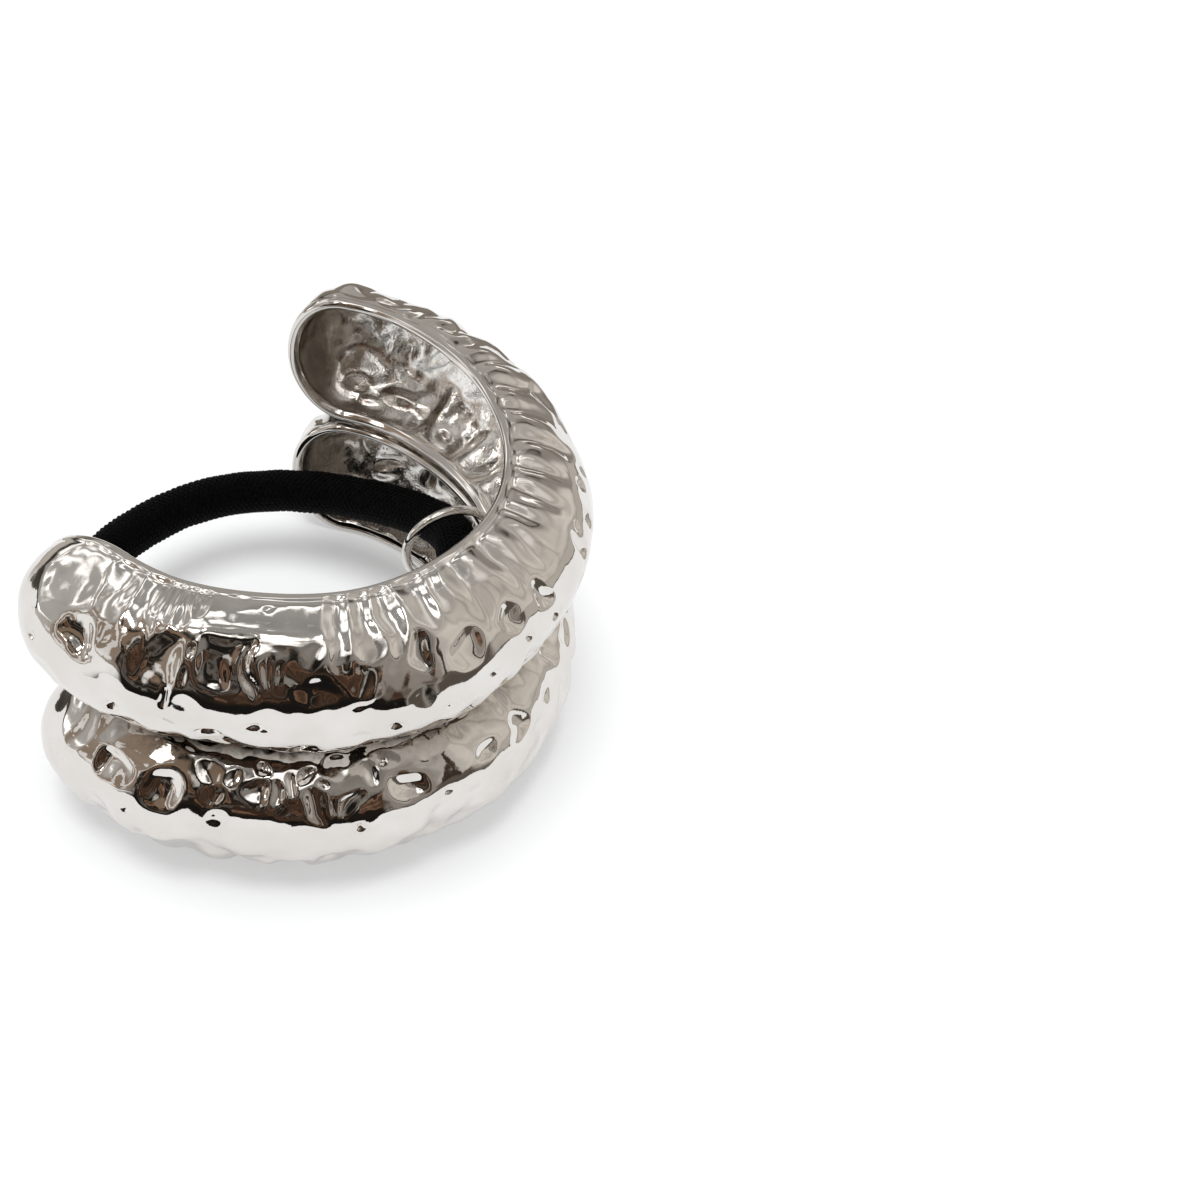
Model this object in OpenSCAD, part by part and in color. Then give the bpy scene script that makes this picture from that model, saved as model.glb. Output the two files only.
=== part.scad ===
// Ponytail cuff: two puffed, hammered half-round bands of cast metal, open to the
// inside and joined one above the other along a seam, with two soldered wire rings
// inside that hold a round black hair elastic. The cuff lies on its side on a table:
// the hair passes through it along Z, its closed front faces -Y and the gap between
// its rounded ends faces +Y. Millimetres. The origin is the middle of the box of the
// cuff, on the surface that it lies on.

/* [Cuff] */
// Height of the cuff, over both bands
cuff_h = 33.6; // [30:0.1:38]
// Mean inner radius of the cuff, from the middle of the bore to the rims
bore_r = 21.4; // [20:0.1:26]
// How far each band bulges out from its rims
bulge = 8.8; // [7:0.1:11]
// Thickness of the cast walls and of the bead round each rim
wall = 1.0; // [0.9:0.1:1.4]
// Crevice between the rims of the two bands
rim_gap = 0.8; // [0.5:0.1:1.2]
// Depth of the ground land that the lowest rim stands on
land_cut = 0.15; // [0.1:0.05:0.3]

/* [Ends] */
// Azimuth where the left end begins to round off
left_az = 168; // [160:1:180]
// Azimuth where the right end begins to round off
right_az = 377; // [365:1:378]
// Length of the rounded left end, which stands out a little
left_tip = 10.5; // [7:0.1:11]
// Length of the rounded right end
right_tip = 6.5; // [5:0.1:9]

/* [Hammering] */
// Depth of the main dents, as a share of the depth in their table
dent_scale = 1; // [0:0.1:1.2]
// Depth of the slow swell along both bands
swell = 0.25; // [0:0.05:0.4]

/* [Rings] */
// Radius of the rings, at the middle of their wire
ring_r = 4.7; // [4.2:0.1:5]
// Diameter of the rings' wire
ring_wire = 0.9; // [0.8:0.05:1.2]
// Azimuth of the ring near the right end
ring_az = 310; // [300:1:318]
// Turn of the rings away from the radial plane
ring_turn = 8; // [0:1:12]

/* [Elastic] */
// Diameter of the round elastic
elastic_d = 4.7; // [4:0.1:5]

/* [Hidden] */

mid_z = (cuff_h - land_cut) / 2;         // height of the seam
band_b = (cuff_h + land_cut - rim_gap) / 4; // half the height of one band
zc_low = band_b - land_cut;              // middle height of the lower band
zc_up = cuff_h - band_b;                 // middle height of the upper band
arc_n = 44;                              // steps along the arc
cap_n = 8;                               // steps round each end
OUT_Q = [75, 60, 45, 30, 20, 10, 0];     // profile angles from the crown (90) to the rim, outside
in_n = 4;                                // and inside
web_in = 0.3;                            // solder web: nearest to the bore
web_out = 2.4;                           // and farthest

// Plan of the rims, hand-bent and so a little off a true circle.
// columns: azimuth, offset of the radius from bore_r
PLAN = [
    [168,  0.5],
    [198,  0.0],
    [228,  0.1],
    [258,  0.0],
    [288, -0.6],
    [318, -1.1],
    [348, -0.7],
    [378,  0.6],
];

// Main dents of the hammered outside, pressed through both faces of the wall.
// columns: azimuth, height above the table, half width, depth
DENTS = [
    [183, 23.0, 3.6, 0.9],
    [203, 28.5, 3.2, 0.7],
    [214, 22.0, 3.8, 0.9],
    [231, 27.5, 3.0, 0.6],
    [240, 21.5, 3.6, 0.9],
    [258, 26.0, 3.4, 0.7],
    [272, 22.0, 3.2, 0.8],
    [286, 27.0, 3.2, 0.8],
    [303, 25.5, 3.4, 0.9],
    [319, 22.5, 3.2, 0.8],
    [334, 27.0, 3.4, 0.8],
    [352, 23.0, 3.4, 0.9],
    [369, 27.5, 3.2, 0.7],
    [187,  9.0, 3.8, 0.9],
    [207,  5.5, 3.2, 0.8],
    [222, 11.0, 3.6, 1.0],
    [240,  6.5, 3.8, 1.1],
    [254, 11.0, 3.4, 0.9],
    [271,  7.0, 3.6, 0.9],
    [290, 10.5, 3.4, 0.9],
    [307,  6.5, 3.2, 0.7],
    [325, 10.5, 3.6, 0.9],
    [343,  6.0, 3.4, 0.8],
    [362, 10.5, 3.4, 0.8],
];

// Route of the elastic's middle line, a closed loop: through the ring near the right
// end, down behind the right end, across the gap, up behind the left end, through the
// other ring and along the inside of the front. A smooth curve is drawn between the
// rows, a little inside them.
// columns: x and y from the middle of the bore, z from the table
ROUTE = [
    [ 10.5, -13.0, 16.5],
    [ 14.5,  -9.5, 14.0],
    [ 16.5,  -3.5, 12.0],
    [ 17.0,   4.0, 10.0],
    [ 15.0,  12.0,  9.0],
    [  9.5,  18.5,  9.0],
    [  1.5,  21.5,  9.5],
    [ -6.5,  21.5, 11.0],
    [-14.0,  17.5, 12.5],
    [-18.0,   9.0, 13.5],
    [-18.5,   0.5, 14.5],
    [-17.0,  -7.0, 15.5],
    [-12.0, -14.0, 16.5],
    [ -5.0, -17.5, 17.0],
    [  1.0, -17.5, 17.0],
    [  6.0, -16.0, 17.0],
];
route_n = 3;                             // tube rings for each row of the route
route_sides = 10;

// ---- small helpers ----
function blend4(a, b, c, d, t) = 0.5 * (2 * b + (c - a) * t + (2 * a - 5 * b + 4 * c - d) * t * t + (3 * b - a - 3 * c + d) * t * t * t);
function ease4(a, b, c, d, t) = (pow(1 - t, 3) * a + (3 * t * t * t - 6 * t * t + 4) * b + (3 * t + 3 * t * t - 3 * t * t * t + 1) * c + t * t * t * d) / 6;
function smooth(lo, hi, x) = let (t = min(1, max(0, (x - lo) / (hi - lo)))) t * t * (3 - 2 * t);
function unit(v) = v / norm(v);

// ---- plan of the rims ----
function plan_row(i) = PLAN[min(len(PLAN) - 1, max(0, i))][1];
function plan_r(az) = let (u = (az - PLAN[0][0]) / 30, i = floor(u))
    bore_r + blend4(plan_row(i - 1), plan_row(i), plan_row(i + 1), plan_row(i + 2), u - i);
function plan_p(az) = plan_r(az) * [cos(az), sin(az)];
function plan_t(az) = unit(plan_p(az + 0.5) - plan_p(az - 0.5));     // along the arc, rising azimuth
function plan_out(az) = let (t = plan_t(az)) [t[1], -t[0]];          // square to it, away from the bore

// ---- one band: a closed rim loop, with a profile from the crown over the rim to the inner crown ----
// A station is [azimuth, along the arc at the loop's end, up, length of the tip].
STATIONS = concat(
    [for (i = [0 : arc_n]) [left_az + (right_az - left_az) * i / arc_n, 0, 1, 0]],
    [for (i = [1 : cap_n - 1]) let (a = 90 - 180 * i / cap_n) [right_az, cos(a), sin(a), right_tip]],
    [for (i = [0 : arc_n]) [right_az - (right_az - left_az) * i / arc_n, 0, -1, 0]],
    [for (i = [1 : cap_n - 1]) let (a = -90 + 180 * i / cap_n) [left_az, -cos(a), sin(a), left_tip]]
);
CROWN = concat(                          // which crown point each station's profile starts from
    [for (i = [0 : arc_n]) i],
    [for (i = [1 : cap_n - 1]) arc_n],
    [for (i = [0 : arc_n]) arc_n - i],
    [for (i = [1 : cap_n - 1]) 0]
);
// A profile point is [angle up from the rim, depth in from the outside, push over the bead].
PROFILE = concat(
    [for (q = OUT_Q) [q, 0, 0]],
    [[0, wall * 0.25, 0.45], [0, wall * 0.75, 0.45]],
    [for (i = [0 : in_n - 1]) [90 * i / in_n, wall, 0]]
);
function place(s, q, depth, over, zc) =
    let (t = plan_t(s[0]), n = plan_out(s[0]), p = plan_p(s[0]),
         e = (s[3] > 0 ? s[3] - depth : 0) * s[1],
         up = (band_b - depth) * s[2])
    [p[0] + t[0] * e * cos(q) + n[0] * ((bulge - depth) * sin(q) - over * wall),
     p[1] + t[1] * e * cos(q) + n[1] * ((bulge - depth) * sin(q) - over * wall),
     zc + up * cos(q)];
function push_dir(s, q) =                // outward, square to the undented surface
    let (t = plan_t(s[0]), n = plan_out(s[0]))
    unit([t[0] * s[1] * cos(q) + n[0] * sin(q), t[1] * s[1] * cos(q) + n[1] * sin(q), s[2] * cos(q)]);
function dent_centre(d) =
    let (zc = d[1] > mid_z ? zc_up : zc_low, k = (d[1] - zc) / band_b,
         r = plan_r(d[0]) + bulge * sqrt(max(0, 1 - k * k)))
    [r * cos(d[0]), r * sin(d[0]), d[1]];
CENTRES = [for (d = DENTS) dent_centre(d)];
function hammer(p, az) = swell * sin(az * 6 + p[2] * 8)
    - dent_scale * [for (i = [0 : len(DENTS) - 1])
        let (g = norm(p - CENTRES[i]) / DENTS[i][2]) g < 2.4 ? DENTS[i][3] * exp(-g * g) : 0]
      * [for (i = [0 : len(DENTS) - 1]) 1];
function skin_point(s, w, zc) =          // station s, profile row w
    let (p = place(s, w[0], w[1], w[2], zc), o = place(s, w[0], 0, 0, zc),
         k = smooth(10, 40, w[0]) * hammer(o, s[0]), d = push_dir(s, w[0]),
         f = p + d * k)
    [f[0], f[1], max(f[2], 0)];          // the lowest rim is ground flat

module band(zc) {
    m = len(PROFILE);
    ns = len(STATIONS);
    nc = arc_n + 1;
    spine = [for (i = [0 : arc_n]) STATIONS[i]];
    points = concat(
        [for (s = spine) skin_point([s[0], 0, 1, 0], [90, 0, 0], zc)],
        [for (s = spine) skin_point([s[0], 0, 1, 0], [90, wall, 0], zc)],
        [for (s = STATIONS) for (w = PROFILE) skin_point(s, w, zc)]
    );
    function at(k, j) = 2 * nc + (k % ns) * m + j;
    faces = concat(
        [for (k = [0 : ns - 1]) for (j = [0 : m - 2]) [at(k, j), at(k, j + 1), at(k + 1, j + 1)]],
        [for (k = [0 : ns - 1]) for (j = [0 : m - 2]) [at(k, j), at(k + 1, j + 1), at(k + 1, j)]],
        [for (k = [0 : ns - 1]) [CROWN[k], at(k, 0), at(k + 1, 0)]],
        [for (k = [0 : ns - 1]) if (CROWN[k] != CROWN[(k + 1) % ns]) [CROWN[k], at(k + 1, 0), CROWN[(k + 1) % ns]]],
        [for (k = [0 : ns - 1]) [nc + CROWN[k], at(k + 1, m - 1), at(k, m - 1)]],
        [for (k = [0 : ns - 1]) if (CROWN[k] != CROWN[(k + 1) % ns]) [nc + CROWN[k], nc + CROWN[(k + 1) % ns], at(k + 1, m - 1)]]
    );
    polyhedron(points, faces, convexity = 8);
}

// ---- solder web in the crevice between the bands ----
module web() {
    n = arc_n;
    a0 = left_az + 1;
    a1 = right_az - 1;
    h = rim_gap / 2 + 0.5;
    corners = [[web_in, -h], [web_out, -h], [web_out, h], [web_in, h]];
    points = [for (i = [0 : n]) let (az = a0 + (a1 - a0) * i / n, p = plan_p(az), o = plan_out(az))
        for (c = corners) [p[0] + o[0] * c[0], p[1] + o[1] * c[0], mid_z + c[1]]];
    faces = concat(
        [[3, 2, 1, 0]],
        [[n * 4, n * 4 + 1, n * 4 + 2, n * 4 + 3]],
        [for (i = [0 : n - 1]) for (c = [0 : 3]) [i * 4 + c, i * 4 + (c + 1) % 4, (i + 1) * 4 + (c + 1) % 4]],
        [for (i = [0 : n - 1]) for (c = [0 : 3]) [i * 4 + c, (i + 1) * 4 + (c + 1) % 4, (i + 1) * 4 + c]]
    );
    polyhedron(points, faces, convexity = 8);
}

// ---- wire ring, soldered across the crevice ----
module ring(az, turn) {
    r = plan_r(az) - 0.1;
    translate([r * cos(az), r * sin(az), mid_z])
        rotate([0, 0, az + turn])
            translate([-ring_r, 0, 0])
                rotate([90, 0, 0])
                    rotate_extrude($fn = 28)
                        translate([ring_r, 0]) circle(d = ring_wire, $fn = 8);
}

// ---- middle of the cuff's box, seen from above ----
OUTLINE = [for (zc = [zc_low, zc_up]) for (s = STATIONS) for (w = PROFILE) skin_point(s, w, zc)];
CREST = [for (zc = [zc_low, zc_up]) for (i = [0 : arc_n]) skin_point([STATIONS[i][0], 0, 1, 0], [90, 0, 0], zc)];
xs = [for (p = concat(OUTLINE, CREST)) p[0]];
ys = [for (p = concat(OUTLINE, CREST)) p[1]];
centre = [-(min(xs) + max(xs)) / 2, -(min(ys) + max(ys)) / 2, 0];
echo(centre = centre, box = [max(xs) - min(xs), max(ys) - min(ys)]);

module cuff() {
    color("#c9c6c0")
        translate(centre)
            resize([0, 0, cuff_h])       // brings the joined bands to their exact height
                union() {
                    band(zc_low);
                    band(zc_up);
                    web();
                    ring(ring_az, ring_turn);
                    ring(540 - ring_az, -ring_turn);
                }
}

// ---- elastic: a round tube swept along its closed route ----
function route_p(u) = let (n = len(ROUTE), i = floor(u), t = u - i)
    ease4(ROUTE[(i + n - 1) % n], ROUTE[i % n], ROUTE[(i + 1) % n], ROUTE[(i + 2) % n], t);
module elastic() {
    n = len(ROUTE) * route_n;
    m = route_sides;
    points = [for (i = [0 : n - 1])
        let (u = len(ROUTE) + i / route_n, p = route_p(u), t = unit(route_p(u + 0.02) - route_p(u - 0.02)),
             side = unit(cross(t, [0, 0, 1])), up = cross(side, t))
        for (j = [0 : m - 1]) p + elastic_d / 2 * (cos(360 * j / m) * side + sin(360 * j / m) * up)];
    faces = concat(
        [for (i = [0 : n - 1]) for (j = [0 : m - 1]) [i * m + j, i * m + (j + 1) % m, ((i + 1) % n) * m + (j + 1) % m]],
        [for (i = [0 : n - 1]) for (j = [0 : m - 1]) [i * m + j, ((i + 1) % n) * m + (j + 1) % m, ((i + 1) % n) * m + j]]
    );
    color("#141414")
        translate(centre)
            polyhedron(points, faces, convexity = 6);
}

cuff();
elastic();
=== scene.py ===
import math

import bpy
import numpy as np
from mathutils import Matrix


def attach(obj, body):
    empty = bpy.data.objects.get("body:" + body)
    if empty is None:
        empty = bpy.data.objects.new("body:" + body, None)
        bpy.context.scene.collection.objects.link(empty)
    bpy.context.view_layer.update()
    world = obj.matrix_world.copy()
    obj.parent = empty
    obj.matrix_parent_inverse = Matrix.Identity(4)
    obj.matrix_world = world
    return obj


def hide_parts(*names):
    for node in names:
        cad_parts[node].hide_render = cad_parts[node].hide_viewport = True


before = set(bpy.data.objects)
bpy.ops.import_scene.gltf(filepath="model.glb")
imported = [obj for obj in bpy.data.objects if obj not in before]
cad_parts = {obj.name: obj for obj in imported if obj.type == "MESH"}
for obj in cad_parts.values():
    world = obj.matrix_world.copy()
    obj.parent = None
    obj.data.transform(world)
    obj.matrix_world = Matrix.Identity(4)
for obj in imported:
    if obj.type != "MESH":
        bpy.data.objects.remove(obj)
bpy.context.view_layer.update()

MM = 0.001

# ---------------------------------------------------------------- sizes of the part, millimetres
CX, CY = 0.187305, 7.4172          # middle of the bore
CUFF_H, BORE_R, BULGE, WALL = 33.6, 21.4, 8.8, 1.0
RIM_GAP, LAND = 0.8, 0.15
LEFT_AZ, RIGHT_AZ, LEFT_TIP, RIGHT_TIP = 168.0, 377.0, 10.5, 6.5
RING_R, RING_WIRE, RING_AZ, RING_TURN = 4.7, 0.9, 310.0, 8.0
ELASTIC_D = 4.7
MID = (CUFF_H - LAND) / 2
BAND = (CUFF_H + LAND - RIM_GAP) / 4
Z_LOW, Z_UP = BAND - LAND, CUFF_H - BAND
PLAN = np.array([0.5, 0.0, 0.1, 0.0, -0.6, -1.1, -0.7, 0.6])   # rim radius offset every 30 degrees from LEFT_AZ
ROUTE = np.array([
    [10.5, -13.0, 16.5], [14.5, -9.5, 14.0], [16.5, -3.5, 12.0], [17.0, 4.0, 10.0],
    [15.0, 12.0, 9.0], [9.5, 18.5, 9.0], [1.5, 21.5, 9.5], [-6.5, 21.5, 11.0],
    [-14.0, 17.5, 12.5], [-18.0, 9.0, 13.5], [-18.5, 0.5, 14.5], [-17.0, -7.0, 15.5],
    [-12.0, -14.0, 16.5], [-5.0, -17.5, 17.0], [1.0, -17.5, 17.0], [6.0, -16.0, 17.0],
])


# ---------------------------------------------------------------- helpers
def smooth(lo, hi, x):
    t = np.clip((x - lo) / (hi - lo), 0.0, 1.0)
    return t * t * (3 - 2 * t)


def unit(v):
    return v / np.maximum(np.linalg.norm(v, axis=-1, keepdims=True), 1e-12)


def make_mesh(name, verts_mm, faces, mats, face_mat=None, body="root", smooth_shade=True):
    me = bpy.data.meshes.new(name)
    quads = [tuple(int(i) for i in f) for f in faces]
    me.from_pydata((np.asarray(verts_mm) * MM).tolist(), [], quads)
    for m in mats:
        me.materials.append(m)
    if face_mat is not None:
        me.polygons.foreach_set("material_index", np.asarray(face_mat, np.int32))
    me.polygons.foreach_set("use_smooth", np.full(len(me.polygons), smooth_shade))
    me.update()
    ob = bpy.data.objects.new(name, me)
    bpy.context.scene.collection.objects.link(ob)
    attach(ob, body)
    return ob


def waves(seed, count, shortest, longest, rms):
    """A smooth random field: a sum of plane waves, with wavelengths in millimetres."""
    g = np.random.default_rng(seed)
    k = unit(g.normal(size=(count, 3))) * (2 * math.pi / np.exp(g.uniform(math.log(shortest), math.log(longest), (count, 1))))
    ph = g.uniform(0, 2 * math.pi, count)
    amp = rms * math.sqrt(2.0 / count)

    def field(p):
        out = np.zeros(len(p))
        for i in range(count):
            out += np.sin(p @ k[i] + ph[i])
        return out * amp

    return field


# ---------------------------------------------------------------- camera
cam_data = bpy.data.cameras.new("camera")
cam = bpy.data.objects.new("camera", cam_data)
bpy.context.scene.collection.objects.link(cam)
bpy.context.scene.camera = cam
C_RIGHT = (0.40280461, -0.90990932, 0.09906295)
C_UP = (0.63322212, 0.35518507, 0.68765785)
C_FWD = (0.66089197, 0.21426290, -0.71924489)
C_POS = (-0.10685310, -0.06024644, 0.14402667)
cam.matrix_world = Matrix((
    (C_RIGHT[0], C_UP[0], -C_FWD[0], C_POS[0]),
    (C_RIGHT[1], C_UP[1], -C_FWD[1], C_POS[1]),
    (C_RIGHT[2], C_UP[2], -C_FWD[2], C_POS[2]),
    (0.0, 0.0, 0.0, 1.0),
))
cam_data.lens = 51.419
cam_data.sensor_width = 36.0
cam_data.sensor_fit = "AUTO"
cam_data.clip_start = 0.005
cam_data.clip_end = 20.0


# ---------------------------------------------------------------- node helpers
class Nodes:
    """Short calls for building a node tree."""

    def __init__(self, tree):
        self.t = tree
        tree.nodes.clear()

    def new(self, kind, **props):
        n = self.t.nodes.new(kind)
        for k, v in props.items():
            setattr(n, k, v)
        return n

    def link(self, a, b):
        self.t.links.new(a, b)

    def put(self, sock, value):
        if isinstance(value, bpy.types.NodeSocket):
            self.link(value, sock)
        else:
            sock.default_value = value

    def math(self, op, a, b=None, c=None, clamp=False):
        n = self.new("ShaderNodeMath", operation=op, use_clamp=clamp)
        self.put(n.inputs[0], a)
        if b is not None:
            self.put(n.inputs[1], b)
        if c is not None:
            self.put(n.inputs[2], c)
        return n.outputs[0]

    def vmath(self, op, a, b=None):
        n = self.new("ShaderNodeVectorMath", operation=op)
        self.put(n.inputs[0], a)
        if b is not None:
            self.put(n.inputs[1], b)
        return n.outputs["Value"] if op in ("DOT_PRODUCT", "LENGTH", "DISTANCE") else n.outputs["Vector"]

    def step(self, x, lo, hi, out_lo=0.0, out_hi=1.0):
        n = self.new("ShaderNodeMapRange", interpolation_type="SMOOTHSTEP")
        self.put(n.inputs["Value"], x)
        self.put(n.inputs["From Min"], lo)
        self.put(n.inputs["From Max"], hi)
        self.put(n.inputs["To Min"], out_lo)
        self.put(n.inputs["To Max"], out_hi)
        return n.outputs["Result"]

    def mix(self, f, a, b):
        n = self.new("ShaderNodeMix", data_type="RGBA")
        self.put(n.inputs["Factor"], f)
        self.put(n.inputs[6], a)
        self.put(n.inputs[7], b)
        return n.outputs[2]

    def noise(self, vec, scale, detail=2.0, rough=0.5, dist=0.0, dims="3D"):
        n = self.new("ShaderNodeTexNoise", noise_dimensions=dims)
        self.put(n.inputs["Vector"], vec)
        n.inputs["Scale"].default_value = scale
        n.inputs["Detail"].default_value = detail
        n.inputs["Roughness"].default_value = rough
        n.inputs["Distortion"].default_value = dist
        return n.outputs["Fac"]


def rgb(r, g, b):
    return (r, g, b, 1.0)


# ---------------------------------------------------------------- materials
def polished_metal():
    m = bpy.data.materials.new("polished_metal")
    m.use_nodes = True
    n = Nodes(m.node_tree)
    out = n.new("ShaderNodeOutputMaterial")
    p = n.new("ShaderNodeBsdfPrincipled")
    n.link(p.outputs[0], out.inputs[0])
    co = n.new("ShaderNodeTexCoord").outputs["Object"]
    # thin, uneven plating: the colour wanders a little; painted shade darkens and warms it in the hollows, found from
    # pointiness
    cloud = n.noise(co, 160.0, 3.0, 0.55)
    fine = n.noise(co, 900.0, 3.0, 0.6)
    hollow_shade = n.step(n.new("ShaderNodeNewGeometry").outputs["Pointiness"], 0.40, 0.52)
    tone = n.mix(n.step(cloud, 0.35, 0.7), rgb(0.785, 0.755, 0.72), rgb(0.84, 0.815, 0.785))
    tone = n.mix(hollow_shade, rgb(0.70, 0.665, 0.62), tone)
    # painted shade where the two bands meet: near black in the crevice, and a lighter speckled shade on the lower band
    # just under the upper one
    z = n.new("ShaderNodeSeparateXYZ")
    n.link(co, z.inputs[0])
    gap = n.math("ABSOLUTE", n.math("SUBTRACT", z.outputs[2], MID * MM))
    gap = n.math("MULTIPLY_ADD", n.math("SUBTRACT", fine, 0.5), -0.0012, gap)
    off = n.vmath("LENGTH", n.vmath("MULTIPLY", n.vmath("SUBTRACT", co, (CX * MM, CY * MM, 0.0)), (1.0, 1.0, 0.0)))
    off = n.step(off, 0.0219, 0.0230)
    shade_under_band = n.math("MULTIPLY", n.step(z.outputs[2], (MID - 0.3) * MM, MID * MM, 1.0, 0.0), n.step(fine, 0.36, 0.56, 1.0, 0.45))
    shade_under_band = n.math("MULTIPLY", n.math("MULTIPLY", n.step(gap, 0.0010, 0.0029, 1.0, 0.0), off), shade_under_band)
    tone = n.mix(shade_under_band, tone, rgb(0.30, 0.26, 0.22))
    tone = n.mix(n.math("MULTIPLY", n.step(gap, 0.0008, 0.0016, 1.0, 0.0), off), tone, rgb(0.050, 0.040, 0.032))
    n.link(tone, p.inputs["Base Color"])
    p.inputs["Metallic"].default_value = 1.0
    # fine polishing scuffs: long thin noise in two directions
    stretch = n.new("ShaderNodeMapping")
    stretch.inputs["Scale"].default_value = (6000.0, 500.0, 900.0)
    stretch.inputs["Rotation"].default_value = (0.4, 0.3, 0.9)
    n.link(co, stretch.inputs["Vector"])
    scuff = n.noise(stretch.outputs[0], 1.0, 2.0, 0.6)
    patch = n.step(n.noise(co, 420.0, 2.0, 0.5), 0.52, 0.72)
    rough = n.math("MULTIPLY_ADD", n.step(fine, 0.4, 0.8), 0.03, 0.035)
    rough = n.math("ADD", rough, n.math("MULTIPLY", n.math("MULTIPLY", patch, n.step(scuff, 0.45, 0.75)), 0.07))
    n.link(rough, p.inputs["Roughness"])
    height = n.math("ADD", n.math("MULTIPLY", n.noise(co, 1100.0, 2.0, 0.5), 1.0),
                    n.math("MULTIPLY", n.math("MULTIPLY", scuff, patch), 0.05))
    b = n.new("ShaderNodeBump")
    b.inputs["Strength"].default_value = 0.22
    b.inputs["Distance"].default_value = 0.000035
    n.link(height, b.inputs["Height"])
    n.link(b.outputs[0], p.inputs["Normal"])
    return m


def satin_metal():
    m = bpy.data.materials.new("satin_inside")
    m.use_nodes = True
    n = Nodes(m.node_tree)
    out = n.new("ShaderNodeOutputMaterial")
    p = n.new("ShaderNodeBsdfPrincipled")
    n.link(p.outputs[0], out.inputs[0])
    co = n.new("ShaderNodeTexCoord").outputs["Object"]
    cloud = n.noise(co, 260.0, 4.0, 0.6)
    grain = n.noise(co, 3600.0, 3.0, 0.65)
    # painted shade: hollows, found from pointiness, get a much darker base colour
    hollow_shade = n.step(n.new("ShaderNodeNewGeometry").outputs["Pointiness"], 0.38, 0.485)
    tone = n.mix(n.step(cloud, 0.3, 0.7), rgb(0.88, 0.855, 0.815), rgb(0.96, 0.94, 0.915))
    tone = n.mix(hollow_shade, rgb(0.36, 0.325, 0.28), tone)
    mottle = n.noise(co, 1500.0, 3.0, 0.68, 1.2)
    tone = n.mix(n.math("MULTIPLY", n.step(mottle, 0.36, 0.50, 1.0, 0.0), 0.30), tone, rgb(0.60, 0.565, 0.525))
    # duller towards the rims and in the rounded ends, where no polishing wheel reaches
    at = n.new("ShaderNodeSeparateXYZ")
    n.link(co, at.inputs[0])
    end = n.step(n.math("MULTIPLY_ADD", cloud, 0.003, at.outputs[1]), 0.0150, 0.0195)
    side = n.math("ABSOLUTE", n.math("SUBTRACT", n.math("ABSOLUTE", n.math("SUBTRACT", at.outputs[2], MID * MM)), BAND * MM))
    side = n.math("MULTIPLY", n.step(side, 0.0052, 0.0078), 0.6)
    tone = n.mix(n.math("MULTIPLY", n.math("MAXIMUM", end, side), 0.85), tone, rgb(0.50, 0.455, 0.405))
    n.link(tone, p.inputs["Base Color"])
    p.inputs["Metallic"].default_value = 1.0
    n.link(n.math("MULTIPLY_ADD", n.step(grain, 0.3, 0.75), 0.09, 0.10), p.inputs["Roughness"])
    # fine casting skin: brushed swirls with small grains
    warp = n.new("ShaderNodeMapping")
    warp.inputs["Scale"].default_value = (1000.0, 2400.0, 1600.0)
    warp.inputs["Rotation"].default_value = (0.5, 0.2, 0.6)
    n.link(co, warp.inputs["Vector"])
    swirl = n.noise(warp.outputs[0], 1.0, 2.0, 0.5, 2.2)
    cell = n.new("ShaderNodeTexVoronoi", feature="F1")
    cell.inputs["Scale"].default_value = 1900.0
    n.link(co, cell.inputs["Vector"])
    bead = n.step(cell.outputs["Distance"], 0.10, 0.34, 1.0, 0.0)
    height = n.math("ADD", n.math("MULTIPLY", swirl, 0.5), n.math("MULTIPLY", grain, 0.12))
    height = n.math("ADD", height, n.math("MULTIPLY", n.math("MULTIPLY", bead, n.step(cloud, 0.52, 0.62)), 1.0))
    b = n.new("ShaderNodeBump")
    b.inputs["Strength"].default_value = 0.85
    b.inputs["Distance"].default_value = 0.00006
    n.link(height, b.inputs["Height"])
    n.link(b.outputs[0], p.inputs["Normal"])
    return m


def wire_metal(name, low, high, rough):
    m = bpy.data.materials.new(name)
    m.use_nodes = True
    n = Nodes(m.node_tree)
    out = n.new("ShaderNodeOutputMaterial")
    p = n.new("ShaderNodeBsdfPrincipled")
    n.link(p.outputs[0], out.inputs[0])
    co = n.new("ShaderNodeTexCoord").outputs["Object"]
    fine = n.noise(co, 1500.0, 3.0, 0.6)
    tone = n.mix(n.step(n.noise(co, 500.0, 2.0), 0.35, 0.7), rgb(*low), rgb(*high))
    n.link(tone, p.inputs["Base Color"])
    p.inputs["Metallic"].default_value = 1.0
    n.link(n.math("MULTIPLY_ADD", n.step(fine, 0.35, 0.8), 0.08, rough), p.inputs["Roughness"])
    b = n.new("ShaderNodeBump")
    b.inputs["Strength"].default_value = 0.3
    b.inputs["Distance"].default_value = 0.00003
    n.link(fine, b.inputs["Height"])
    n.link(b.outputs[0], p.inputs["Normal"])
    return m


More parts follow.
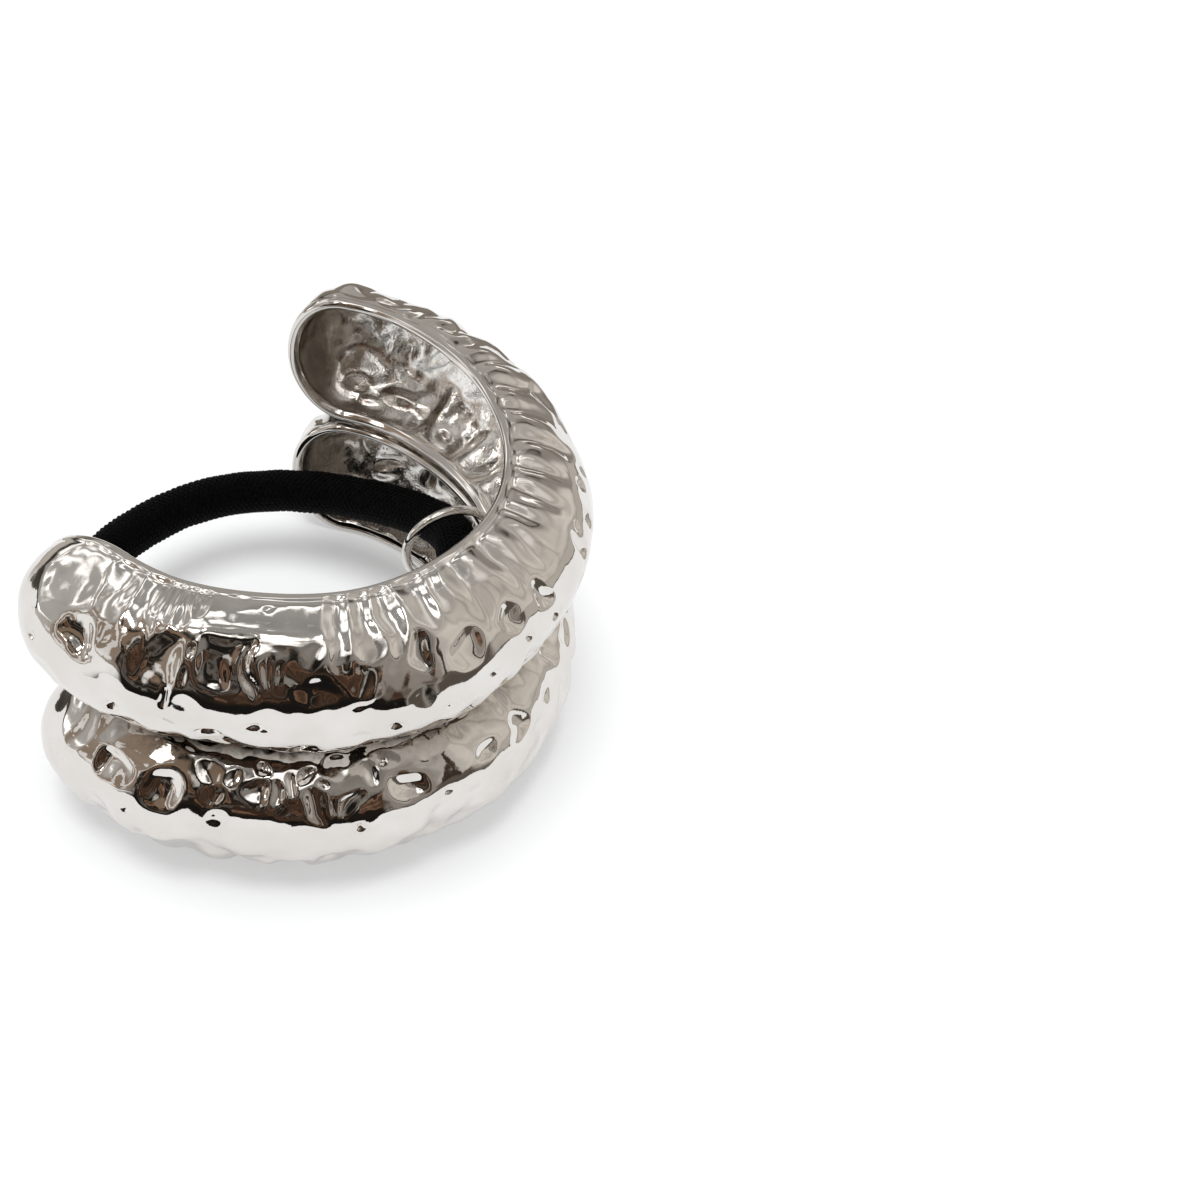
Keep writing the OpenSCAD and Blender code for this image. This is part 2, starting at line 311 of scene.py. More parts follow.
def elastic_cloth():
    m = bpy.data.materials.new("black_elastic")
    m.use_nodes = True
    n = Nodes(m.node_tree)
    out = n.new("ShaderNodeOutputMaterial")
    p = n.new("ShaderNodeBsdfPrincipled")
    n.link(p.outputs[0], out.inputs[0])
    uv = n.new("ShaderNodeUVMap", uv_map="braid").outputs[0]
    co = n.new("ShaderNodeTexCoord").outputs["Object"]
    # fibres along each yarn, which slant both ways
    lanes = []
    for turn in (0.72, -0.72):
        mp = n.new("ShaderNodeMapping")
        mp.inputs["Rotation"].default_value = (0.0, 0.0, turn)
        mp.inputs["Scale"].default_value = (900.0, 9000.0, 1.0)
        n.link(uv, mp.inputs["Vector"])
        lanes.append(n.noise(mp.outputs[0], 1.0, 2.0, 0.55, 0.3))
    fuzz = n.noise(co, 5200.0, 3.0, 0.7)
    tone = n.mix(n.step(n.math("MULTIPLY", lanes[0], lanes[1]), 0.15, 0.45), rgb(0.0005, 0.0005, 0.0006), rgb(0.0030, 0.0030, 0.0031))
    tone = n.mix(n.step(fuzz, 0.64, 0.8), tone, rgb(0.0065, 0.0065, 0.0068))
    n.link(tone, p.inputs["Base Color"])
    n.link(n.step(fuzz, 0.3, 0.8, 0.5, 0.75), p.inputs["Roughness"])
    p.inputs["Specular IOR Level"].default_value = 0.07
    p.inputs["Sheen Weight"].default_value = 0.0
    p.inputs["Sheen Roughness"].default_value = 0.45
    height = n.math("ADD", n.math("ADD", lanes[0], lanes[1]), n.math("MULTIPLY", fuzz, 0.8))
    b = n.new("ShaderNodeBump")
    b.inputs["Strength"].default_value = 0.9
    b.inputs["Distance"].default_value = 0.00012
    n.link(height, b.inputs["Height"])
    n.link(b.outputs[0], p.inputs["Normal"])
    return m


MAT_POLISH = polished_metal()
MAT_SATIN = satin_metal()
MAT_WIRE = wire_metal("polished_wire", (0.78, 0.755, 0.72), (0.86, 0.845, 0.82), 0.07)
MAT_SOLDER = wire_metal("tarnished_solder", (0.26, 0.22, 0.18), (0.52, 0.47, 0.41), 0.16)
MAT_ELASTIC = elastic_cloth()


# ---------------------------------------------------------------- hair elastic, a closed braided cord
def route_at(u):
    n = len(ROUTE)
    i = np.floor(u).astype(int)
    t = (u - i)[:, None]
    a, b, c, d = (ROUTE[(i + k) % n] for k in (-1, 0, 1, 2))
    return ((1 - t) ** 3 * a + (3 * t ** 3 - 6 * t ** 2 + 4) * b + (3 * t + 3 * t ** 2 - 3 * t ** 3 + 1) * c + t ** 3 * d) / 6


def closed_route(count):
    """Points at even steps along the loop, with their tangents."""
    u = np.linspace(0, len(ROUTE), 4001)
    p = route_at(u % len(ROUTE))
    s = np.r_[0, np.cumsum(np.linalg.norm(np.diff(p, axis=0), axis=1))]
    at = np.interp(np.arange(count) / count * s[-1], s, u)
    q = route_at(at % len(ROUTE)) + np.array([CX, CY, 0])
    t = unit(route_at((at + 0.01) % len(ROUTE)) - route_at((at - 0.01) % len(ROUTE)))
    return q, t, s[-1]


def build_elastic():
    n, m = 1208, 80
    q, t, length = closed_route(n)
    side = unit(np.cross(t, [0, 0, 1.0]))
    up = np.cross(side, t)
    ang = np.arange(m) / m * 2 * math.pi
    s = np.arange(n) / n * length
    # braid: two sets of yarns that wind both ways, over and under each other
    yarns = 14
    turns = round(length / (yarns * 0.66)) * 1.0
    a = yarns * ang[None, :] / (2 * math.pi) + yarns * turns * s[:, None] / length
    b = yarns * ang[None, :] / (2 * math.pi) - yarns * turns * s[:, None] / length
    ya, yb = np.abs(np.cos(math.pi * a)), np.abs(np.cos(math.pi * b))
    parity = np.where((np.round(a) + np.round(b)) % 2 == 0, 1.0, -1.0)
    ha = ya ** 0.6 * (0.62 + 0.38 * parity * yb)
    hb = yb ** 0.6 * (0.62 - 0.38 * parity * ya)
    h = np.maximum(ha, hb)
    base = q[:, None, :] + side[:, None, :] * np.cos(ang)[None, :, None] + up[:, None, :] * np.sin(ang)[None, :, None]
    wob = waves(5, 26, 2.5, 9.0, 0.035)(base.reshape(-1, 3)).reshape(n, m)
    fuzz = np.random.default_rng(8).normal(size=(n, m)) * 0.007
    r = ELASTIC_D / 2 - 0.25 + 0.30 * h + wob + fuzz
    v = q[:, None, :] + r[:, :, None] * (side[:, None, :] * np.cos(ang)[None, :, None] + up[:, None, :] * np.sin(ang)[None, :, None])
    i, j = np.meshgrid(np.arange(n), np.arange(m), indexing="ij")
    i1, j1 = (i + 1) % n, (j + 1) % m
    faces = np.stack([i * m + j, i * m + j1, i1 * m + j1, i1 * m + j], -1).reshape(-1, 4)
    ob = make_mesh("hair_elastic", v.reshape(-1, 3), faces, [MAT_ELASTIC])
    uv = ob.data.uv_layers.new(name="braid")
    su = np.stack([i, i, i + 1, i + 1], -1).reshape(-1) * (length * MM / n)
    sv = np.stack([j, j + 1, j + 1, j], -1).reshape(-1) * (math.pi * ELASTIC_D * MM / m)
    uv.data.foreach_set("uv", np.stack([su, sv], -1).astype(np.float32).ravel())
    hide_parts("elastic")
    path, _, _ = closed_route(96)
    path = np.vstack([path, path[:1]]) * MM
    return ob


build_elastic()


# ---------------------------------------------------------------- plan of the rims
def plan_row(i):
    return PLAN[np.clip(i, 0, len(PLAN) - 1)]


def plan_r(az):
    u = (np.asarray(az, float) - LEFT_AZ) / 30
    i = np.floor(u).astype(int)
    t = u - i
    a, b, c, d = (plan_row(i + k) for k in (-1, 0, 1, 2))
    return BORE_R + 0.5 * (2 * b + (c - a) * t + (2 * a - 5 * b + 4 * c - d) * t * t + (3 * b - a - 3 * c + d) * t ** 3)


def plan_p(az):
    r = plan_r(az)
    return np.stack([r * np.cos(np.radians(az)), r * np.sin(np.radians(az))], -1)


def plan_t(az):
    return unit(plan_p(np.asarray(az, float) + 0.5) - plan_p(np.asarray(az, float) - 0.5))


def plan_out(az):
    t = plan_t(az)
    return np.stack([t[..., 1], -t[..., 0]], -1)


_az = np.linspace(LEFT_AZ, RIGHT_AZ, 2001)
_s = np.r_[0, np.cumsum(np.linalg.norm(np.diff(plan_p(_az), axis=0), axis=1))]
ARC = float(_s[-1])


def on_band(zc, s, th):
    """A point of the plain band: s along the rims from the left arc's end, negative on the left end; th from 0, top rim, to 180, bottom rim."""
    s, th = np.asarray(s, float), np.radians(np.asarray(th, float))
    az = np.interp(np.clip(s, 0, ARC), _s, _az)
    p, t, o = plan_p(az), plan_t(az), plan_out(az)
    e = np.where(s < 0, s, np.where(s > ARC, s - ARC, 0.0))
    tip = np.where(s < 0, LEFT_TIP, RIGHT_TIP)
    c = np.sqrt(np.clip(1 - (e / tip) ** 2, 0, 1))
    x = p[..., 0] + t[..., 0] * e + o[..., 0] * BULGE * c * np.sin(th) + CX
    y = p[..., 1] + t[..., 1] * e + o[..., 1] * BULGE * c * np.sin(th) + CY
    return np.stack([x, y, zc + BAND * c * np.cos(th)], -1)


# ---------------------------------------------------------------- hammering, charted
# columns: s, th, half width along the arc, half length along the profile, depth (below 0 is raised)
UP_FLUTES = [
    [-2.4, 27, 1.9, 2.6, 0.50], [1.9, 19, 1.2, 1.9, 0.42], [4.6, 22, 1.0, 2.8, 0.44],
    [6.3, 16, 0.55, 2.0, 0.24], [7.5, 15, 0.50, 1.9, 0.24], [8.6, 11, 0.50, 1.3, 0.20],
    [12.4, 12, 2.2, 1.7, 0.06], [15.6, 15, 1.9, 2.0, 0.06],
    [12.1, 27, 1.9, 0.70, -0.14], [15.3, 29, 1.4, 0.65, -0.12],
    [19.4, 21, 0.80, 2.8, 0.32], [21.4, 20, 0.85, 2.9, 0.38], [23.3, 20, 0.85, 2.8, 0.38],
    [26.2, 15, 0.80, 2.3, 0.36], [28.0, 16, 0.60, 1.8, 0.14],
    [30.4, 26, 1.05, 2.9, 0.32], [34.0, 25, 0.90, 3.2, 0.40], [37.0, 30, 0.80, 2.6, 0.20],
    [39.5, 15, 0.70, 1.8, 0.26], [42.2, 22, 0.85, 2.8, 0.36], [45.7, 21, 0.80, 2.4, 0.34],
    [49.3, 23, 0.95, 3.0, 0.48], [53.4, 21, 1.10, 2.8, 0.46], [57.2, 23, 1.00, 3.0, 0.42],
    [60.6, 22, 0.95, 2.8, 0.38], [63.6, 22, 0.95, 2.6, 0.36], [66.5, 26, 0.90, 1.9, 0.38],
    [69.8, 22, 1.00, 2.5, 0.32], [73.0, 22, 1.00, 2.3, 0.30], [76.4, 22, 1.10, 2.3, 0.30],
    [79.6, 30, 1.00, 1.8, 0.20],
]
UP_DIMPLES = [
    [-5.6, 46, 1.5, 2.0, 0.14], [0.8, 54, 1.95, 2.0, 0.80], [2.9, 43, 0.9, 1.7, 0.12],
    [6.3, 52, 2.5, 2.8, 0.70], [7.45, 73, 0.45, 1.6, 0.50], [11.6, 41, 2.1, 2.5, 0.30], [15.8, 46, 2.0, 1.7, 0.22], [9.2, 42, 0.50, 0.60, 0.26],
    [8.9, 56, 0.45, 0.9, 0.20], [10.9, 48, 1.15, 1.7, 0.38], [13.05, 48, 0.70, 2.3, 0.38],
    [14.3, 50, 0.42, 1.6, 0.24], [15.15, 50, 0.42, 1.5, 0.22], [16.9, 39, 1.4, 0.7, 0.14],
    [17.6, 61, 1.85, 2.1, 0.30], [17.9, 62, 0.9, 0.9, 0.10], [20.4, 54, 1.5, 1.4, 0.16],
    [20.6, 48, 0.42, 0.38, 0.20], [21.2, 66, 0.9, 0.6, -0.12], [20.3, 71, 0.7, 0.45, 0.18],
    [24.1, 57, 2.15, 2.7, 0.17], [24.9, 52, 0.95, 1.8, 0.62], [28.0, 58, 1.65, 1.8, 0.44],
    [32.1, 57, 1.2, 1.5, 0.68], [35.2, 59, 1.0, 1.3, 0.62], [41.3, 66, 0.75, 1.6, 0.56],
    [42.2, 58, 0.40, 0.40, 0.30], [44.2, 70, 0.9, 1.1, 0.58], [46.4, 57, 0.8, 1.0, 0.58],
    [48.4, 66, 0.6, 0.9, 0.36], [53.2, 60, 1.8, 2.1, 0.50],
]
UP_PITS = [
    [-3.9, 74, 0.8, 0.5, 0.26], [3.8, 94, 0.62, 0.50, 0.74], [3.9, 89, 1.5, 1.3, 0.22],
    [-1.7, 96, 1.8, 1.5, 0.24], [10.3, 98, 0.95, 0.74, 0.90], [10.8, 93, 1.9, 2.0, 0.20],
    [13.7, 86, 0.80, 0.36, 0.46], [14.2, 89, 0.40, 0.30, 0.34], [22.4, 94, 0.65, 0.36, 0.60],
    [26.0, 90, 0.36, 0.28, 0.40], [29.5, 85, 0.55, 0.34, 0.52], [29.2, 91, 1.4, 1.2, 0.16],
    [36.3, 84, 0.75, 0.90, 0.60], [33.2, 80, 0.5, 0.6, 0.40],
    [20.2, 102, 1.3, 1.4, 0.22], [17.0, 97, 1.4, 1.3, 0.20],
    [8.9, 76, 1.3, 1.3, 0.18], [14.3, 80, 1.5, 1.1, 0.13], [20.0, 80, 1.7, 1.2, 0.14], [4.0, 80, 1.4, 1.1, 0.10], [24.6, 78, 1.5, 1.2, 0.14],
    [7.2, 99, 1.6, 1.4, 0.22], [25.0, 100, 1.7, 1.5, 0.24], [33.6, 99, 1.7, 1.5, 0.24],
    [40.2, 88, 0.8, 0.9, 0.50], [45.4, 88, 0.85, 0.95, 0.55], [52.0, 92, 0.95, 0.8, 0.60], [59.4, 90, 0.8, 0.7, 0.60],
    [68.8, 93, 0.8, 0.7, 0.60], [75.4, 87, 0.7, 0.6, 0.55],
]
LOW_FLUTES = [
    [-5.6, 50, 1.3, 1.4, 0.26], [-3.9, 40, 0.8, 1.5, 0.24], [-2.2, 42, 0.8, 1.8, 0.20],
    [0.3, 37, 0.9, 1.0, 0.10], [3.0, 33, 1.5, 0.8, 0.07], [5.2, 36, 1.6, 0.9, 0.07],
    [18.9, 32, 0.9, 0.8, 0.10], [20.8, 33, 0.7, 0.8, 0.08], [22.8, 34, 0.9, 0.7, 0.07],
    [26.5, 31, 0.9, 1.2, 0.12], [29.2, 28, 1.0, 1.8, 0.10], [33.4, 35, 0.8, 1.5, 0.20],
    [36.6, 32, 1.0, 1.6, 0.14], [40.3, 31, 1.1, 2.2, 0.20], [43.2, 33, 1.1, 2.2, 0.24],
    [1.0, 99, 1.4, 2.3, 0.26], [4.1, 100, 1.4, 2.2, 0.28], [9.6, 97, 1.6, 2.6, 0.28],
    [14.2, 93, 1.3, 2.6, 0.26], [16.9, 92, 1.3, 2.6, 0.26], [20.0, 95, 1.1, 2.2, 0.24],
    [22.3, 90, 1.3, 2.4, 0.34], [25.6, 95, 1.2, 2.2, 0.32], [28.9, 84, 1.3, 1.5, 0.34],
    [32.2, 84, 1.2, 1.8, 0.40], [35.8, 84, 1.4, 2.0, 0.44], [39.8, 88, 1.5, 2.2, 0.44],
    [43.2, 84, 1.4, 2.0, 0.40],
]
LOW_DIMPLES = [
    [2.0, 55, 1.8, 1.3, 0.62], [3.0, 58, 0.6, 0.5, 0.12], [6.1, 57, 1.8, 2.0, 0.70], [3.6, 44, 1.5, 0.6, 0.10],
    [9.3, 39, 0.9, 1.3, 0.15], [11.0, 38, 0.7, 1.0, 0.13], [9.8, 52, 1.1, 1.0, 0.20],
    [12.9, 49, 1.10, 1.4, 0.34], [14.4, 50, 0.8, 1.1, 0.30], [13.6, 34, 0.9, 0.8, 0.24],
    [15.7, 43, 0.50, 1.2, 0.26], [15.5, 57, 1.1, 0.8, 0.18], [17.3, 57, 1.1, 1.5, 0.34],
    [16.8, 37, 0.8, 0.8, 0.30], [18.1, 44, 0.45, 0.45, 0.24], [19.8, 57, 1.0, 0.9, 0.24],
    [18.8, 56, 0.40, 0.60, 0.24], [21.5, 43, 0.7, 1.2, 0.20], [22.6, 36, 0.35, 0.5, 0.16],
    [24.0, 58, 1.65, 1.8, 0.64], [26.8, 67, 0.65, 0.42, 0.26], [30.5, 57, 1.0, 0.85, 0.38],
    [33.7, 57, 1.35, 1.35, 0.46], [37.9, 64, 0.40, 0.70, 0.34], [40.6, 46, 0.9, 1.0, 0.34],
    [43.6, 57, 1.1, 1.1, 0.34],
]
LOW_PITS = [
    [3.6, 81, 0.40, 0.36, 0.50], [3.7, 77, 1.3, 1.2, 0.26], [10.2, 66, 0.36, 0.30, 0.36],
    [10.4, 71, 1.05, 1.15, 0.26], [-2.5, 70, 1.35, 1.0, 0.26], [0.9, 85, 1.5, 1.8, 0.26],
    [20.2, 77, 0.36, 0.50, 0.48], [6.6, 91, 1.2, 1.4, -0.14],
    [3.6, 127, 1.5, 1.9, 0.46], [7.6, 131, 1.5, 1.9, 0.42], [11.6, 126, 1.4, 1.8, 0.34],
    [15.6, 131, 1.5, 1.8, 0.36], [19.8, 126, 1.4, 1.8, 0.32], [-0.6, 122, 1.5, 1.8, 0.36],
    [2.4, 113, 1.3, 1.3, 0.22], [8.2, 113, 1.5, 1.4, 0.24], [13.0, 110, 1.4, 1.4, 0.22],
    [18.2, 112, 1.5, 1.4, 0.24], [23.6, 110, 1.5, 1.5, 0.26],
    [12.0, 80, 1.6, 1.3, 0.16], [16.4, 79, 1.5, 1.2, 0.16], [7.9, 84, 1.4, 1.3, 0.18], [26.0, 80, 1.3, 1.2, 0.18],
]
# the same columns, inside only, from the bore: raised is above 0 here
UP_INSIDE = [
    [77.4, 142, 2.7, 2.9, 0.80], [77.2, 148, 1.55, 1.0, -1.15], [73.6, 113, 0.75, 2.2, -0.90],
    [75.9, 86, 0.65, 2.8, 0.45], [74.8, 103, 0.7, 1.8, 0.32],
    [71.8, 128, 2.2, 2.0, -0.42], [72.7, 151, 2.4, 0.9, 0.55], [69.6, 161, 0.8, 1.6, -0.48],
    [68.0, 143, 1.1, 3.2, 0.55], [66.5, 163, 1.9, 1.4, 0.55], [66.3, 162.5, 1.1, 0.85, -0.90],
    [64.4, 158, 0.7, 2.2, -0.60], [62.3, 152, 1.25, 3.0, 0.62], [60.2, 157, 0.55, 2.6, -0.55],
    [58.2, 158, 1.3, 2.8, 0.55], [71.0, 98, 1.5, 1.9, 0.30], [67.0, 110, 2.0, 1.8, 0.24],
    [66.6, 133, 0.5, 0.45, -0.50], [64.4, 139, 1.1, 0.9, -0.30], [63.2, 122, 1.8, 1.8, 0.24],
    [75.6, 162, 1.7, 0.9, 0.35],
]
LOW_INSIDE = [
    [80.6, 74, 0.55, 0.8, -0.50], [77.1, 97, 0.80, 2.2, -0.85], [79.7, 99, 1.6, 1.8, -0.34],
    [74.5, 107, 1.7, 0.40, -0.50], [75.2, 119, 1.8, 1.1, 0.42], [71.5, 103, 0.65, 1.7, -0.55],
    [69.8, 112, 1.2, 1.5, 0.38], [67.0, 105, 0.8, 1.8, -0.42], [64.5, 112, 1.3, 1.6, 0.38],
    [73.3, 92, 1.1, 1.2, 0.3], [66.5, 176, 0.7, 0.8, 0.2], [72.0, 172, 1.2, 1.0, 0.2],
    [77.0, 174, 1.4, 1.0, 0.2],
]


def fill_in(seed, rows):
    """Dents for what doesn't show: rows of (from, to, step, th, th spread, half width, half length, depth), with chance in each."""
    g = np.random.default_rng(seed)
    made = []
    for lo, hi, pitch, th, spread, ws, wt, depth in rows:
        s = lo + pitch * g.uniform(0.2, 0.5)
        while s < hi:
            k = g.uniform(0.8, 1.2, 3)
            made.append([s, th + g.uniform(-spread, spread), ws * k[0], wt * k[1], depth * k[2]])
            s += pitch * g.uniform(0.8, 1.2)
    return made


def scatter(seed, s0, s1, t0, t1, gap, small, big, steep):
    """Uneven hammer marks over a stretch, none closer than about the gap."""
    g = np.random.default_rng(seed)
    made = []
    for _ in range(3000):
        s, t = g.uniform(s0, s1), g.uniform(t0, t1)
        if all(math.hypot(s - m[0], (t - m[1]) * 0.15) > gap * g.uniform(0.8, 1.2) for m in made):
            w = g.uniform(small, big)
            made.append([s, t, w * g.uniform(0.8, 1.2), w * g.uniform(0.8, 1.25), w * steep * g.uniform(0.7, 1.2)])
    return made


UP_FILL = scatter(21, 56, 81, 46, 78, 3.3, 1.3, 2.4, 0.21) + scatter(22, -7, 82, 108, 146, 3.0, 1.2, 2.1, 0.19) + fill_in(23, [
    (-6, 81, 3.2, 152, 5, 1.3, 1.8, 0.24), (-6, 80, 2.4, 165, 3, 0.9, 1.4, 0.16),
    (4, 17, 3.0, 6.5, 1.5, 0.5, 0.30, 0.06),
])
LOW_FILL = scatter(24, 45, 82, 46, 80, 2.9, 1.0, 2.0, 0.30) + scatter(25, 25, 82, 98, 142, 3.0, 1.4, 2.3, 0.25) + scatter(27, -6, 25, 108, 150, 3.1, 1.6, 2.5, 0.25) + fill_in(26, [
    (45, 82, 2.6, 22, 5, 1.1, 3.0, 0.36), (-6, 81, 2.7, 152, 6, 1.2, 2.2, 0.28),
    (8, 44, 2.6, 14, 3, 0.8, 1.1, 0.16), (48, 82, 6.5, 88, 6, 0.6, 0.55, 0.5),
])


def frames_of(zc, table):
    """Middle, arc direction, profile direction and sizes of each dent."""
    out = []
    for s, th, ws, wt, depth in table:
        p = on_band(zc, s, th)
        es = unit(on_band(zc, s + 0.15, th) - on_band(zc, s - 0.15, th))
        et = unit(on_band(zc, s, th + 1.0) - on_band(zc, s, th - 1.0))
        en = unit(np.cross(es, et))
        et = np.cross(en, es)
        out.append((p, es, et, en, ws, wt, depth))
    return out


def pressed(points, dents, grow=1.0, crisp=4.0, square=2.0, p=4.0):
    """Depth pressed in at each point: the deepest dent wins, with soft ridges between; raised ones add. Crisp 0 is soft-edged."""
    deep = np.zeros(len(points))
    high = np.zeros(len(points))
    whole = math.log1p(math.exp(crisp)) / crisp if crisp else 1.0
    for c, es, et, en, ws, wt, depth in dents:
        reach = max(ws, wt) * grow * 1.7
        near = np.flatnonzero(np.abs(points - c).max(1) < reach)
        if not len(near):
            continue
        d = points[near] - c
        g = (d @ es / (ws * grow)) ** 2 + np.abs(d @ et / (wt * grow)) ** square
        if crisp:
            b = np.abs(depth) * np.log1p(np.exp(crisp * (1 - np.minimum(g, 6.0)))) / crisp / whole
        else:
            b = np.abs(depth) * np.exp(-1.2 * g)
        b *= 1 - smooth(1.9, 2.8, g)
        if depth > 0:
            deep[near] += b ** p
        else:
            high[near] += b
    return deep ** (1 / p) - high


def warp(points, k):
    """Moves the points a little, so that no dent keeps a plain outline."""
    out = points.copy()
    for i in range(3):
        out[:, i] += k * (WARP[i](points) + FINE_WARP[i](points))
    return out


WARP = [waves(60 + k, 30, 3.2, 7.5, 0.30) for k in range(3)]
FINE_WARP = [waves(64 + k, 36, 1.3, 2.6, 0.035) for k in range(3)]
FLOW = waves(11, 40, 9.0, 24.0, 0.16)
LUMPY = waves(12, 60, 2.6, 6.5, 0.068)
RIPPLE = waves(13, 60, 0.9, 2.0, 0.0030)
SKIN = waves(14, 70, 1.6, 4.6, 0.032)
BEND = [waves(15 + k, 24, 9.0, 20.0, 0.05) for k in range(3)]
BEAD = 0.075


# ---------------------------------------------------------------- one band
def station_list(arc_n, left_n, right_n):
    """(azimuth, along the arc at the ends, up, length of the end) for each station of the rim loop."""
    rows = [(LEFT_AZ + (RIGHT_AZ - LEFT_AZ) * i / arc_n, 0.0, 1.0, 0.0) for i in range(arc_n + 1)]
    for i in range(1, right_n):
        a = math.radians(90 - 180 * i / right_n)
        rows.append((RIGHT_AZ, math.cos(a), math.sin(a), RIGHT_TIP))
    rows += [(RIGHT_AZ - (RIGHT_AZ - LEFT_AZ) * i / arc_n, 0.0, -1.0, 0.0) for i in range(arc_n + 1)]
    for i in range(1, left_n):
        a = math.radians(-90 + 180 * i / left_n)
        rows.append((LEFT_AZ, -math.cos(a), math.sin(a), LEFT_TIP))
    crown = (list(range(arc_n + 1)) + [arc_n] * (right_n - 1)
             + [arc_n - i for i in range(arc_n + 1)] + [0] * (left_n - 1))
    return np.array(rows), np.array(crown)


def build_band(name, zc, flutes, dimples, pits, fill, inside, seed, extra):
    arc_n, left_n, right_n = 404, 112, 92
    st, crown = station_list(arc_n, left_n, right_n)
    ns, nc = len(st), arc_n + 1
    # profile: angle up from the rim, depth from the outside, how far over the rim
    q_out = np.r_[90.0 - 1.5 * np.arange(1, 55), np.arange(8, -1, -1)]     # closer together next to the rim
    rows = [(q, 0.0, 0.0) for q in q_out]
    for a in np.linspace(0, math.pi, 11)[1:-1]:
        rows.append((0.0, WALL * 0.5 * (1 - math.cos(a)), WALL * 0.5 * math.sin(a)))
    prof = np.array(rows)
    q_in = np.r_[0.0, 0.9, 2.0, 3.2, 4.6, 6.4, 90.0 * (np.arange(9, 100) / 100.0)[::3]]
    q_in = q_in[q_in < 89.5]
    lip = 0.17 * (1 - smooth(1.5, 6.0, q_in))
    inner = np.stack([q_in, WALL + lip, np.zeros(len(q_in))], 1)

    def place(rows_, st_):
        az, ca, sa, tip = (st_[:, None, k] for k in range(4))
        q, dep, over = (rows_[None, :, k] for k in range(3))
        cq, sq = np.cos(np.radians(q)), np.sin(np.radians(q))
        p, t, o = plan_p(st_[:, 0])[:, None, :], plan_t(st_[:, 0])[:, None, :], plan_out(st_[:, 0])[:, None, :]
        e = np.where(tip > 0, tip - dep, 0.0) * ca * cq
        w = (BULGE - dep) * sq - over
        xy = p + t * e[..., None] + o * w[..., None]
        z = zc + (BAND - dep) * sa * cq
        return np.concatenate([xy + np.array([CX, CY]), z[..., None]], -1)

    def outward(rows_, st_):
        ca, sa = st_[:, None, 1], st_[:, None, 2]
        q = rows_[None, :, 0]
        cq, sq = np.cos(np.radians(q)), np.sin(np.radians(q))
        t, o = plan_t(st_[:, 0])[:, None, :], plan_out(st_[:, 0])[:, None, :]
        xy = t * (ca * cq)[..., None] + o * sq[..., None]
        return unit(np.concatenate([xy, (sa * cq + 0 * sq)[..., None]], -1))

    front = [row for row in flutes if row[1] > 60]
    slope = [row for row in flutes if row[1] <= 60 and row[0] < 28.5]
    flank = [row for row in flutes if row[1] <= 60 and row[0] >= 28.5]
    dents = [frames_of(zc, t) for t in (front, dimples, pits, fill, flank, slope)]
    quiet = [f for f, row in zip(dents[3], fill) if row[0] < 56 or row[1] < 90]   # the rest is charted inside
    marks = frames_of(zc, inside)

    def calm(points):
        """Less random relief where the dents are charted one by one."""
        az = np.degrees(np.arctan2(points[:, 1] - CY, points[:, 0] - CX)) % 360
        side = smooth(110, 140, az) * (1 - smooth(300, 325, az))
        return 1 - 0.62 * side * smooth(-0.35, 0.1, (points[:, 2] - zc) / BAND)

    def push(points, q, from_inside):
        """How far a point of the plain outside moves out, along its own outward direction."""
        k = smooth(0.1, 3.2, q)
        at, tame = warp(points, 1.0), warp(points, 0.55)
        if not from_inside:
            h = -pressed(tame, dents[0], 1.0, 2.8, 4.0) - pressed(at, dents[1], 1.0, 4.2, 2.4)
            h -= pressed(tame, dents[2], 1.0, 5.0) + pressed(at, dents[3], 1.05, 3.0)
            h -= pressed(tame, dents[4], 1.12, 0.0, 4.0, 2.5) + pressed(tame, dents[5], 1.06, 1.0, 3.0, 3.0)
            h += LUMPY(points) * calm(points) * smooth(0.3, 14.0, q) + RIPPLE(points)
            h += BEAD * (np.exp(-((q - 1.7) / 1.2) ** 2) - 0.6 * np.exp(-((q - 4.6) / 1.5) ** 2))
        else:
            h = -0.75 * pressed(tame, dents[0] + dents[5], 1.1, 2.4, 3.0) - 0.5 * pressed(at, dents[1], 1.08, 3.0)
            h -= 0.45 * pressed(tame, dents[4], 1.15, 0.0, 3.0, 2.5)
            h -= 0.5 * pressed(at, quiet, 1.1, 2.6)
            h += 0.6 * LUMPY(points) * smooth(0.5, 20.0, q) + SKIN(points)
            h -= 1.35 * pressed(warp(points, 0.6), marks, 1.05, 3.0)
        h = h * k + FLOW(points) * smooth(0.0, 30.0, q) * 0.8
        return h + extra(points) * smooth(0.0, 30.0, q)

    def shift(points):
        """A slow bend of the whole, the same for both faces."""
        return np.stack([f(points) for f in BEND], 1)

    def skin(rows_, st_, from_inside):
        at = place(rows_, st_)
        flat = rows_.copy()
        flat[:, 1:] = 0.0
        base = place(flat, st_).reshape(-1, 3)
        q = np.broadcast_to(rows_[None, :, 0], at.shape[:2]).ravel()
        h = push(base, q, from_inside)
        if from_inside:
            # the hollows inside leave at least 0.3 mm of wall
            most = push(base, q, False) + WALL - 0.3
            h = -0.05 * np.logaddexp(-h / 0.05, -most / 0.05)
        d = outward(rows_, st_).reshape(-1, 3)
        v = at.reshape(-1, 3) + d * h[:, None] + shift(base)
        v[:, 2] = np.maximum(v[:, 2], 0.0)
        return v

